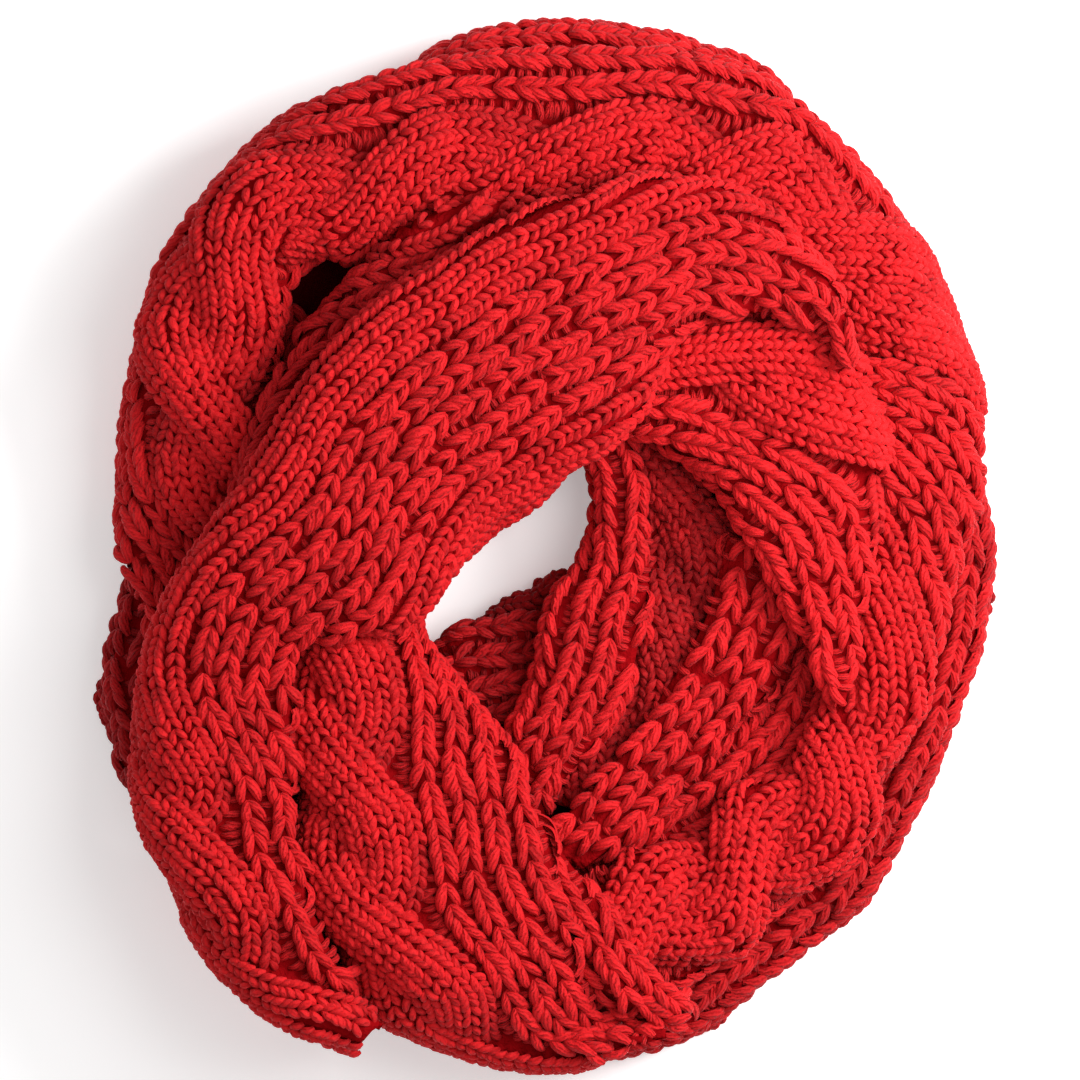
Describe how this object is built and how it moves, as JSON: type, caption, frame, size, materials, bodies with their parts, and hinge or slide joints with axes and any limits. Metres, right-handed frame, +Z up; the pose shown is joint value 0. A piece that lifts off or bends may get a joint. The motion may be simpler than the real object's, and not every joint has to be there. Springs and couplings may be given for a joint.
{
  "type": "cable knit scarf",
  "caption": "Chunky cable and rib knitted loop scarf, wound twice and laid down flat as a ring of overlapping turns round an open middle.",
  "frame": {"origin": "middle of the ring's box, on the surface that the scarf lies on", "axes": "+Z up from the surface; +Y to the top of the ring as seen from above; +X to its right"},
  "size_m": [0.3816, 0.4399, 0.097],
  "materials": {
    "hidden_layers": "matt knitted yarn",
    "outer_rim": "matt knitted yarn",
    "top_strip": "matt knitted yarn",
    "left_ruffle": "matt knitted yarn",
    "under_fold": "matt knitted yarn",
    "deep_inner": "matt knitted yarn",
    "recess": "matt knitted yarn",
    "lower_ribs": "matt knitted yarn",
    "inner_ribs": "matt knitted yarn",
    "ladder_ribs": "matt knitted yarn",
    "outer_turn": "matt knitted yarn",
    "second_crossing": "matt knitted yarn",
    "inner_right": "matt knitted yarn",
    "lower_left": "matt knitted yarn",
    "hole_edge": "matt knitted yarn",
    "crossing": "matt knitted yarn"
  },
  "bodies": {
    "root": {"hidden_layers": "hidden_layers", "outer_rim": "outer_rim", "top_strip": "top_strip", "left_ruffle": "left_ruffle", "under_fold": "under_fold", "deep_inner": "deep_inner", "recess": "recess", "lower_ribs": "lower_ribs", "inner_ribs": "inner_ribs", "ladder_ribs": "ladder_ribs", "outer_turn": "outer_turn", "second_crossing": "second_crossing", "inner_right": "inner_right", "lower_left": "lower_left", "hole_edge": "hole_edge", "crossing": "crossing"}
  },
  "joints": []
}
